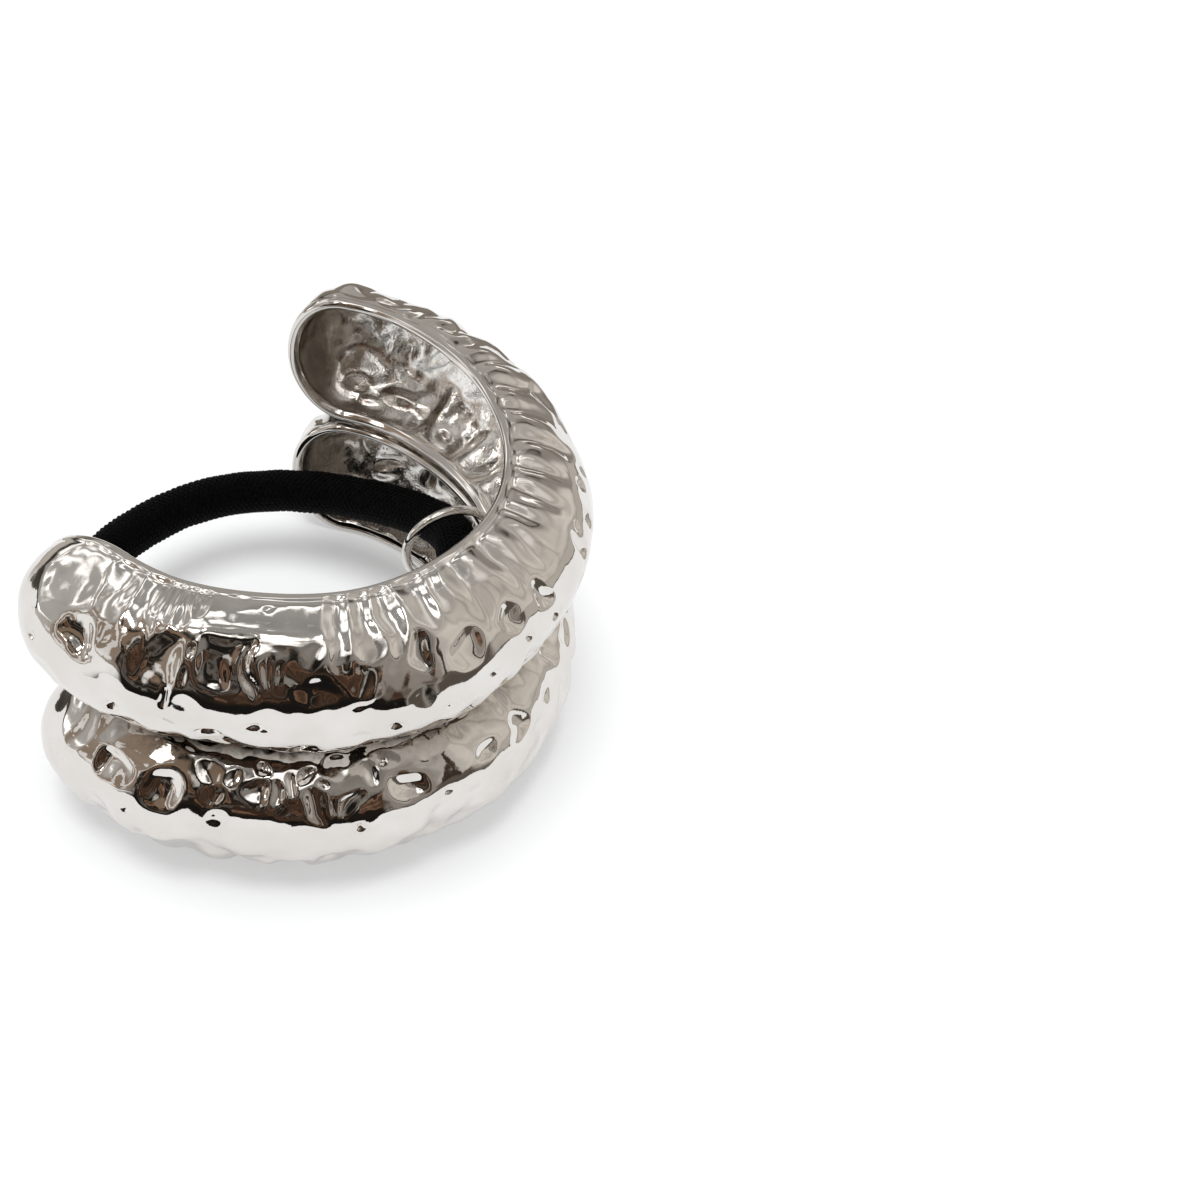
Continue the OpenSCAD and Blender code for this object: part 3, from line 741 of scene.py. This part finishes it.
    half = st[::2]                      # the inside has every second station
    nh = len(half)
    spine = np.array([(a, 0.0, 1.0, 0.0) for a in np.linspace(LEFT_AZ, RIGHT_AZ, nc)])
    spine_in = spine[::2]
    nci = len(spine_in)
    crown_in = crown[::2] // 2
    top = np.array([[90.0, 0.0, 0.0]])
    top_in = np.array([[90.0, WALL, 0.0]])
    v = [skin(top, spine, False), skin(prof, st, False), skin(inner, half, True), skin(top_in, spine_in, True)]
    o0, o1, o2, o3 = np.cumsum([0] + [len(x) for x in v])[:4]
    m, mi = len(prof), len(inner)
    faces, mats = [], []

    def grid(off, rows_n, count, flip, mat):
        k, j = np.meshgrid(np.arange(count), np.arange(rows_n - 1), indexing="ij")
        k1 = (k + 1) % count
        f = np.stack([off + k * rows_n + j, off + k * rows_n + j + 1, off + k1 * rows_n + j + 1, off + k1 * rows_n + j], -1)
        f = f.reshape(-1, 4)
        faces.extend(f[:, ::-1].tolist() if flip else f.tolist())
        mats.extend([mat] * len(f))

    grid(o1, m, ns, False, 0)
    grid(o2, mi, nh, False, 1)
    # the polished bead goes a little way round to the inside
    first_inner = len(faces) - nh * (mi - 1)
    for k in range(nh):
        for j in range(4):
            mats[first_inner + k * (mi - 1) + j] = 0
    for k in range(ns):                  # crown to first row
        k1 = (k + 1) % ns
        a, b = crown[k], crown[k1]
        if a == b:
            faces.append((o0 + a, o1 + k * m, o1 + k1 * m))
        else:
            faces.append((o0 + a, o1 + k * m, o1 + k1 * m, o0 + b))
        mats.append(0)
    for k in range(nh):                  # bead to the coarser inside
        k1 = (k + 1) % nh
        f0, f1, f2 = (o1 + ((2 * k + t) % ns) * m + m - 1 for t in range(3))
        c0, c1 = o2 + k * mi, o2 + k1 * mi
        faces += [(f0, c0, f1), (f1, c0, c1), (f1, c1, f2)]
        mats += [0, 0, 0]
    for k in range(nh):                  # last inner row to the inner crown
        k1 = (k + 1) % nh
        a, b = crown_in[k], crown_in[k1]
        r0, r1 = o2 + k * mi + mi - 1, o2 + k1 * mi + mi - 1
        if a == b:
            faces.append((o3 + a, r1, r0))
        else:
            faces.append((o3 + a, o3 + b, r1, r0))
        mats.append(1)
    ob = make_mesh(name, np.vstack(v), faces, [MAT_POLISH, MAT_SATIN], mats)
    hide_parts("cuff")
    return ob


def swell_at(zc, table):
    """Soft swells of the plain shape: s, th, reach, height."""
    spots = [(on_band(zc, s, th), reach, up) for s, th, reach, up in table]

    def field(p):
        out = np.zeros(len(p))
        for c, reach, up in spots:
            out += up * np.exp(-(np.linalg.norm(p - c, axis=1) / reach) ** 2)
        return out

    return field


build_band("upper_band", Z_UP, UP_FLUTES, UP_DIMPLES, UP_PITS, UP_FILL, UP_INSIDE, 31,
           swell_at(Z_UP, [(-5, 90, 5, 0.15)] + [(2.5 + 2.8 * k, 58, 2.9, -0.19) for k in range(8)]
                    + [(31.5 + 3.2 * k, 47, 3.6, 0.23) for k in range(5)]))
build_band("lower_band", Z_LOW, LOW_FLUTES, LOW_DIMPLES, LOW_PITS, LOW_FILL, LOW_INSIDE, 32,
           swell_at(Z_LOW, [(-6, 80, 6, 0.45), (3, 100, 5, 0.2)]))


# ---------------------------------------------------------------- solder seam in the crevice
def build_seam():
    n = 420
    az = np.linspace(LEFT_AZ + 1, RIGHT_AZ - 1, n)
    p, o = plan_p(az), plan_out(az)
    h = RIM_GAP / 2 + 0.42
    # cross-section: out from the rims, up from the middle; hollow faces between the bands
    sec = np.array([[0.30, -h], [0.8, -h], [1.3, -h], [1.75, -h], [1.6, -h * 0.5], [1.5, 0.0], [1.6, h * 0.5], [1.75, h],
                    [1.3, h], [0.8, h], [0.30, h], [0.36, h * 0.5], [0.42, 0.0], [0.36, -h * 0.5]])
    bump = waves(41, 40, 1.2, 5.0, 0.05)
    at = np.concatenate([(p[:, None, :] + o[:, None, :] * sec[None, :, 0:1] + np.array([CX, CY])),
                         np.broadcast_to(MID + sec[None, :, 1:2], (n, len(sec), 1))], -1)
    flat = at.reshape(-1, 3)
    out3 = np.concatenate([np.broadcast_to(o[:, None, :], (n, len(sec), 2)), np.zeros((n, len(sec), 1))], -1).reshape(-1, 3)
    v = flat + out3 * bump(flat)[:, None]
    m = len(sec)
    i, j = np.meshgrid(np.arange(n - 1), np.arange(m), indexing="ij")
    j1 = (j + 1) % m
    f = np.stack([i * m + j, i * m + j1, (i + 1) * m + j1, (i + 1) * m + j], -1).reshape(-1, 4).tolist()
    f.append(tuple(range(m - 1, -1, -1)))
    f.append(tuple((n - 1) * m + k for k in range(m)))
    ob = make_mesh("solder_seam", v, f, [MAT_SOLDER])
    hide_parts("cuff")
    return ob


build_seam()


# ---------------------------------------------------------------- wire rings
def build_ring(name, az, turn, seed):
    n, m = 168, 20
    r = plan_r(np.array([az]))[0] - 0.1
    a, b = np.meshgrid(np.arange(n) / n * 2 * math.pi, np.arange(m) / m * 2 * math.pi, indexing="ij")
    # thicker where it is soldered, at a = 0
    blob = np.exp(-(((a + math.pi) % (2 * math.pi) - math.pi) / 0.16) ** 2)
    w = (RING_WIRE / 2 + 0.06) * (1 + 0.25 * blob)
    wob = waves(seed, 20, 4.0, 12.0, 0.02)
    x = (RING_R + w * np.cos(b)) * np.cos(a) - RING_R
    z = (RING_R + w * np.cos(b)) * np.sin(a)
    y = w * np.sin(b)
    k = math.radians(az + turn)
    p = np.stack([x * math.cos(k) - y * math.sin(k), x * math.sin(k) + y * math.cos(k), z], -1).reshape(-1, 3)
    p += np.array([r * math.cos(math.radians(az)) + CX, r * math.sin(math.radians(az)) + CY, MID])
    p = p + wob(p)[:, None] * np.array([0.4, 0.4, 0.8])
    i, j = np.meshgrid(np.arange(n), np.arange(m), indexing="ij")
    i1, j1 = (i + 1) % n, (j + 1) % m
    f = np.stack([i * m + j, i1 * m + j, i1 * m + j1, i * m + j1], -1).reshape(-1, 4)
    ob = make_mesh(name, p, f, [MAT_WIRE])
    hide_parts("cuff")
    return ob


build_ring("ring_right", RING_AZ, RING_TURN, 51)
build_ring("ring_left", 540 - RING_AZ, -RING_TURN, 52)


# ---------------------------------------------------------------- floor
def build_floor():
    n = 64
    rings = [0.0, 0.06, 0.15, 0.4, 1.2, 4.0]
    v = [(0.0, 0.0, 0.0)]
    for r in rings[1:]:
        v += [(r * math.cos(2 * math.pi * k / n), r * math.sin(2 * math.pi * k / n), 0.0) for k in range(n)]
    f = [(0, 1 + k, 1 + (k + 1) % n) for k in range(n)]
    for j in range(len(rings) - 2):
        a, b = 1 + j * n, 1 + (j + 1) * n
        f += [(a + k, b + k, b + (k + 1) % n, a + (k + 1) % n) for k in range(n)]
    me = bpy.data.meshes.new("floor")
    me.from_pydata(v, [], f)
    ob = bpy.data.objects.new("floor", me)
    bpy.context.scene.collection.objects.link(ob)
    m = bpy.data.materials.new("white_floor")
    m.use_nodes = True
    nn = Nodes(m.node_tree)
    out = nn.new("ShaderNodeOutputMaterial")
    # mirror images show where the white sheet ends, except on the left
    co = nn.new("ShaderNodeTexCoord").outputs["Object"]
    at = nn.new("ShaderNodeSeparateXYZ")
    nn.link(nn.vmath("SUBTRACT", co, (CX * MM, CY * MM, 0.0)), at.inputs[0])
    x, y = at.outputs[0], at.outputs[1]
    r = nn.math("SQRT", nn.math("ADD", nn.math("MULTIPLY", x, x), nn.math("MULTIPLY", y, y)))
    r = nn.math("MULTIPLY_ADD", nn.math("SUBTRACT", nn.noise(co, 16.0, 2.0), 0.5), 0.03, r)

    def toward(az, half, soft):
        a = math.radians(az)
        u = nn.math("ADD", nn.math("MULTIPLY", x, math.cos(a)), nn.math("MULTIPLY", y, math.sin(a)))
        v = nn.math("ADD", nn.math("MULTIPLY", x, -math.sin(a)), nn.math("MULTIPLY", y, math.cos(a)))
        return nn.step(nn.math("ABSOLUTE", nn.math("ARCTAN2", v, u)), math.radians(half - soft), math.radians(half + soft), 1.0, 0.0)

    room = nn.mix(nn.step(r, 0.136, 0.150), rgb(0.07, 0.06, 0.05), rgb(0.50, 0.465, 0.42))
    room = nn.mix(toward(22, 32, 6), room, rgb(0.24, 0.21, 0.18))
    room = nn.mix(toward(257, 18, 5), room, rgb(0.10, 0.085, 0.07))
    room = nn.mix(toward(197.5, 39.5, 3), room, rgb(0.010, 0.009, 0.008))
    beyond = nn.new("ShaderNodeEmission")
    nn.link(room, beyond.inputs["Color"])
    edge = nn.math("MULTIPLY", nn.step(r, 0.128, 0.134), nn.math("SUBTRACT", 1.0, toward(122, 36, 6)))
    seen = nn.math("MULTIPLY", edge, nn.new("ShaderNodeLightPath").outputs["Is Glossy Ray"])
    p = nn.new("ShaderNodeBsdfPrincipled")
    p.inputs["Base Color"].default_value = (0.565, 0.574, 0.584, 1)
    p.inputs["Emission Color"].default_value = (1, 1, 1, 1)
    p.inputs["Emission Strength"].default_value = 0.345
    p.inputs["Roughness"].default_value = 0.9
    p.inputs["Specular IOR Level"].default_value = 0.0
    # the sheet itself is a little greyer in mirror images
    grey = nn.new("ShaderNodeEmission")
    grey.inputs["Color"].default_value = rgb(0.30, 0.295, 0.29)
    dim = nn.new("ShaderNodeMixShader")
    nn.link(nn.math("MULTIPLY", nn.new("ShaderNodeLightPath").outputs["Is Glossy Ray"], 0.17), dim.inputs[0])
    nn.link(p.outputs[0], dim.inputs[1])
    nn.link(grey.outputs[0], dim.inputs[2])
    pick = nn.new("ShaderNodeMixShader")
    nn.link(seen, pick.inputs[0])
    nn.link(dim.outputs[0], pick.inputs[1])
    nn.link(beyond.outputs[0], pick.inputs[2])
    nn.link(pick.outputs[0], out.inputs[0])
    me.materials.append(m)
    return ob


build_floor()


# ---------------------------------------------------------------- studio, as a procedural surround
def build_world():
    w = bpy.data.worlds.new("studio")
    bpy.context.scene.world = w
    w.use_nodes = True
    n = Nodes(w.node_tree)
    out = n.new("ShaderNodeOutputWorld")
    d = n.new("ShaderNodeTexCoord").outputs["Generated"]
    sep = n.new("ShaderNodeSeparateXYZ")
    n.link(d, sep.inputs[0])
    z = sep.outputs[2]
    wob = n.math("SUBTRACT", n.noise(d, 2.6, 2.0, 0.55), 0.5)
    wob2 = n.math("SUBTRACT", n.noise(d, 7.0, 1.0, 0.6), 0.5)

    def direction(az, el):
        a, e = math.radians(az), math.radians(el)
        return np.array([math.cos(e) * math.cos(a), math.cos(e) * math.sin(a), math.sin(e)])

    def panel(az, el, half_w, half_h, soft=2.0, roll=0.0, wobble=0.0):
        """Mask of a rectangle on the sky, sizes in degrees."""
        c = direction(az, el)
        side = np.cross([0, 0, 1.0], c)
        side /= np.linalg.norm(side)
        up = np.cross(c, side)
        k = math.radians(roll)
        side, up = side * math.cos(k) + up * math.sin(k), up * math.cos(k) - side * math.sin(k)
        f = n.vmath("DOT_PRODUCT", d, tuple(c))
        x = n.math("ARCTAN2", n.vmath("DOT_PRODUCT", d, tuple(side)), f)
        y = n.math("ARCTAN2", n.vmath("DOT_PRODUCT", d, tuple(up)), f)
        if wobble:
            x = n.math("MULTIPLY_ADD", wob, math.radians(wobble), x)
            y = n.math("MULTIPLY_ADD", wob2, math.radians(wobble), y)
        s = math.radians(soft)
        mx = n.step(n.math("ABSOLUTE", x), math.radians(half_w) - s, math.radians(half_w) + s, 1.0, 0.0)
        my = n.step(n.math("ABSOLUTE", y), math.radians(half_h) - s, math.radians(half_h) + s, 1.0, 0.0)
        return n.math("MULTIPLY", mx, my)

    az_all = n.math("ARCTAN2", sep.outputs[1], sep.outputs[0])
    el_all = n.math("ARCSINE", z)

    def sector(az, half, lo, hi, soft_side, soft_top, wobble):
        """Mask of a stretch of wall: middle, half width, lower and upper edge, degrees."""
        a = math.radians(az)
        x = n.vmath("DOT_PRODUCT", d, (math.cos(a), math.sin(a), 0.0))
        y = n.vmath("DOT_PRODUCT", d, (-math.sin(a), math.cos(a), 0.0))
        t = n.math("ABSOLUTE", n.math("MULTIPLY_ADD", wob2, math.radians(wobble), n.math("ARCTAN2", y, x)))
        e = n.math("MULTIPLY_ADD", wob, math.radians(wobble), el_all)
        m = n.step(t, math.radians(half - soft_side), math.radians(half + soft_side), 1.0, 0.0)
        m = n.math("MULTIPLY", m, n.step(e, math.radians(hi - soft_top), math.radians(hi + soft_top), 1.0, 0.0))
        return n.math("MULTIPLY", m, n.step(el_all, math.radians(lo - 2), math.radians(lo + 2)))

    # walls and ceiling
    col = n.mix(n.step(z, 0.10, 0.85), rgb(0.56, 0.525, 0.485), rgb(0.44, 0.43, 0.415))
    # left of the camera: a pale wall, and a white sheet over a dark ledge
    pale = panel(122, 36, 26, 38, 10)
    col = n.mix(n.step(z, 0.70, 0.86), col, rgb(0.335, 0.325, 0.315))
    col = n.mix(panel(66, 30, 64, 30, 10), col, rgb(0.40, 0.385, 0.365))
    col = n.mix(n.math("MULTIPLY", pale, 0.75), col, rgb(0.44, 0.425, 0.405))
    col = n.mix(panel(143, 32, 16, 32, 5, 0, 12), col, rgb(0.30, 0.235, 0.185))
    col = n.mix(n.math("MULTIPLY", panel(140, 32, 19, 34, 5), n.step(n.noise(d, 6.0, 1.0), 0.55, 0.585)), col, rgb(0.78, 0.765, 0.745))
    col = n.mix(panel(60, 6, 20, 4.5, 2, 0, 4), col, rgb(0.045, 0.042, 0.037))
    col = n.mix(panel(92, 3, 14, 4.2, 2, -12, 4), col, rgb(0.045, 0.042, 0.037))
    # far side: a dark grey-brown stretch between lighter ones
    col = n.mix(sector(22, 32, -4, 4, 6, 3, 8), col, rgb(0.20, 0.175, 0.15))
    col = n.mix(panel(30, 24, 20, 18, 6, 0, 8), col, rgb(0.40, 0.38, 0.355))
    col = n.mix(panel(358, 20, 13, 22, 4, 0, 8), col, rgb(0.30, 0.275, 0.25))
    col = n.mix(panel(358, 38, 6.0, 8.5, 2.0, 12, 8), col, rgb(0.065, 0.057, 0.050))
    col = n.mix(panel(331, 16, 14, 11, 6, 0, 6), col, rgb(0.66, 0.62, 0.57))
    # right: beige wall with faint upright seams
    col = n.mix(panel(285, 60, 48, 20, 8, 0, 6), col, rgb(0.47, 0.445, 0.415))
    col = n.mix(panel(296, 28, 30, 24, 7, 0, 4), col, rgb(0.60, 0.56, 0.51))
    for az in (281, 297, 314):
        col = n.mix(n.math("MULTIPLY", panel(az, 34, 1.8, 24, 1.8, 4, 4), 0.4), col, rgb(0.30, 0.27, 0.24))
    # a dark edge just over the table, but not on the left
    low = n.math("MULTIPLY", n.step(el_all, math.radians(0.0), math.radians(5.0), 1.0, 0.0), 0.35)
    col = n.mix(n.math("MULTIPLY", low, n.step(pale, 0.0, 0.4, 1.0, 0.0)), col, rgb(0.15, 0.128, 0.11))
    # the dark side, where the picture is taken from
    col = n.mix(sector(257, 18, -4, 6, 5, 2, 6), col, rgb(0.13, 0.11, 0.09))
    col = n.mix(sector(241, 9, -4, 48, 6, 6, 8), col, rgb(0.29, 0.262, 0.235))
    col = n.mix(sector(255.0, 1.7, 5, 42, 0.7, 3, 3), col, rgb(0.05, 0.034, 0.024))
    dark = sector(197.5, 39.5, -4, 59, 2.5, 2.0, 14)
    hue = n.new("ShaderNodeValToRGB")
    n.link(n.noise(d, 2.1, 2.0, 0.5, 0.8), hue.inputs["Fac"])
    stops = [(0.0, (0.012, 0.008, 0.006)), (0.34, (0.040, 0.023, 0.015)), (0.42, (0.085, 0.048, 0.030)),
             (0.462, (0.21, 0.125, 0.082)), (0.480, (0.055, 0.030, 0.019)), (0.50, (0.009, 0.008, 0.007)),
             (0.565, (0.016, 0.015, 0.014)), (0.59, (0.13, 0.115, 0.100)), (0.62, (0.05, 0.038, 0.030)), (0.66, (0.009, 0.008, 0.007))]
    ramp = hue.color_ramp
    while len(ramp.elements) < len(stops):
        ramp.elements.new(0.5)
    for e, (at, c) in zip(ramp.elements, stops):
        e.position = at
        e.color = rgb(*c)
    inside = n.mix(n.step(z, 0.05, 0.12, 1.0, 0.0), hue.outputs["Color"], rgb(0.016, 0.012, 0.009))
    inside = n.mix(n.math("MULTIPLY", panel(203, 15, 12, 10, 7, 0, 18), 0.75), inside, rgb(0.060, 0.033, 0.020))
    inside = n.mix(n.math("MULTIPLY", n.step(n.math("MULTIPLY_ADD", wob, 0.5, z), 0.62, 0.70), 0.85), inside, rgb(0.012, 0.011, 0.010))
    inside = n.mix(n.step(n.math("MULTIPLY_ADD", wob2, 0.4, z), 0.78, 0.86), inside, rgb(0.075, 0.070, 0.065))
    inside = n.mix(panel(232, 46, 17, 15, 6, -18, 16), inside, rgb(0.24, 0.225, 0.205))
    inside = n.mix(n.math("MULTIPLY", panel(206, 56, 12, 5, 3, 0, 16), 0.8), inside, rgb(0.19, 0.18, 0.17))
    inside = n.mix(n.math("MULTIPLY", panel(168, 42, 7, 9, 3, 20, 12), 0.9), inside, rgb(0.25, 0.18, 0.13))
    col = n.mix(dark, col, inside)
    for az, el, hw, hh, c in ((181, 38, 2.5, 6, 0.6), (222, 24, 2.0, 6, 0.35), (190, 52, 2.5, 2.5, 1.6)):
        col = n.mix(panel(az, el, hw, hh, 1.2, 8, 5), col, rgb(c, c * 0.95, c * 0.89))

    def glow_at(az, el, core, edge, strength):
        """A soft lamp: full within core degrees, none beyond edge degrees."""
        a = n.math("ARCCOSINE", n.math("MINIMUM", n.vmath("DOT_PRODUCT", d, tuple(direction(az, el))), 1.0))
        a = n.math("MULTIPLY_ADD", wob2, math.radians(3.0), a)
        return n.math("MULTIPLY", n.step(a, math.radians(core), math.radians(edge), 1.0, 0.0), strength)

    # soft boxes overhead
    lamp = n.math("MULTIPLY", n.math("POWER", glow_at(214, 79, 0.0, 9.0, 1.0), 1.5), 3.4)
    lamp = n.math("ADD", lamp, glow_at(165, 66, 0.5, 5.0, 15.0))
    lamp = n.math("ADD", lamp, glow_at(139, 57, 0.5, 4.5, 14.0))
    lamp = n.math("ADD", lamp, glow_at(150, 46, 0.5, 3.6, 10.0))
    lamp = n.math("ADD", lamp, glow_at(67, 23, 4, 12, 0.8))
    lamp = n.math("ADD", lamp, glow_at(66, 54, 2, 8, 0.9))
    lamp = n.math("ADD", lamp, glow_at(125, 76, 3, 9, 1.3))
    lamp = n.math("ADD", lamp, glow_at(345, 66, 2, 7, 0.35))
    lamp = n.math("ADD", lamp, glow_at(84, 70, 3, 9, 1.4))
    lamp = n.math("ADD", lamp, glow_at(312, 63, 2, 14, 0.3))
    # many small bright things: lit windows and lamps high up and on the far left
    spots = n.step(n.noise(d, 3.1, 1.5, 0.55), 0.53, 0.66)
    spots_in = n.math("MAXIMUM", n.step(n.math("MULTIPLY_ADD", wob, 0.25, z), 0.76, 0.86), panel(62, 30, 56, 21, 4))
    lamp = n.math("ADD", lamp, n.math("MULTIPLY", n.math("MULTIPLY", spots, spots_in), 1.5))
    # nothing in the room is quite even
    uneven = n.new("ShaderNodeMix", data_type="RGBA", blend_type="MULTIPLY")
    uneven.inputs["Factor"].default_value = 1.0
    n.link(col, uneven.inputs[6])
    grey = n.new("ShaderNodeCombineColor")
    shade = n.math("MULTIPLY_ADD", wob, 0.9, 1.0)
    for k in range(3):
        n.link(shade, grey.inputs[k])
    n.link(grey.outputs[0], uneven.inputs[7])
    glow = n.new("ShaderNodeMix", data_type="RGBA", blend_type="ADD")
    glow.inputs["Factor"].default_value = 1.0
    n.link(uneven.outputs[2], glow.inputs[6])
    tint = n.new("ShaderNodeCombineColor")
    for k, f in enumerate((1.0, 0.99, 0.975)):
        n.link(n.math("MULTIPLY", lamp, f), tint.inputs[k])
    n.link(tint.outputs[0], glow.inputs[7])
    col = glow.outputs[2]
    # below the horizon everything is the white table
    col = n.mix(n.step(z, -0.05, -0.03, 1.0, 0.0), col, rgb(0.97, 0.965, 0.96))
    lit = n.new("ShaderNodeBackground")
    n.link(col, lit.inputs["Color"])
    plain = n.new("ShaderNodeBackground")
    plain.inputs["Color"].default_value = rgb(1.0, 1.0, 1.0)
    plain.inputs["Strength"].default_value = 1.0
    # matt things take a plain even light from here, and the rest from the lamp below
    dome = n.new("ShaderNodeBackground")
    dome.inputs["Color"].default_value = rgb(1.0, 0.995, 0.99)
    dome.inputs["Strength"].default_value = 0.66
    path = n.new("ShaderNodeLightPath")
    matt = n.new("ShaderNodeMixShader")
    n.link(path.outputs["Is Diffuse Ray"], matt.inputs[0])
    n.link(lit.outputs[0], matt.inputs[1])
    n.link(dome.outputs[0], matt.inputs[2])
    pick = n.new("ShaderNodeMixShader")
    n.link(path.outputs["Is Camera Ray"], pick.inputs[0])
    n.link(matt.outputs[0], pick.inputs[1])
    n.link(plain.outputs[0], pick.inputs[2])
    n.link(pick.outputs[0], out.inputs[0])
    w.cycles.sampling_method = "NONE"


build_world()

# broad soft light from above and the front, for the deeper part of the shadow under the cuff
key = bpy.data.lights.new("softbox", "SUN")
key.energy = 2.1
key.angle = math.radians(29)
key.color = (1.0, 0.995, 0.985)
key_ob = bpy.data.objects.new("softbox", key)
bpy.context.scene.collection.objects.link(key_ob)
key_ob.rotation_euler = (-0.04, -0.07, 0.0)
key_ob.visible_glossy = False

bpy.context.scene.view_settings.view_transform = "Standard"
bpy.context.scene.view_settings.look = "None"
bpy.context.scene.view_settings.exposure = 0.0
bpy.context.scene.view_settings.gamma = 1.0
bpy.context.scene.cycles.max_bounces = 7
bpy.context.scene.cycles.glossy_bounces = 6
bpy.context.scene.cycles.diffuse_bounces = 3
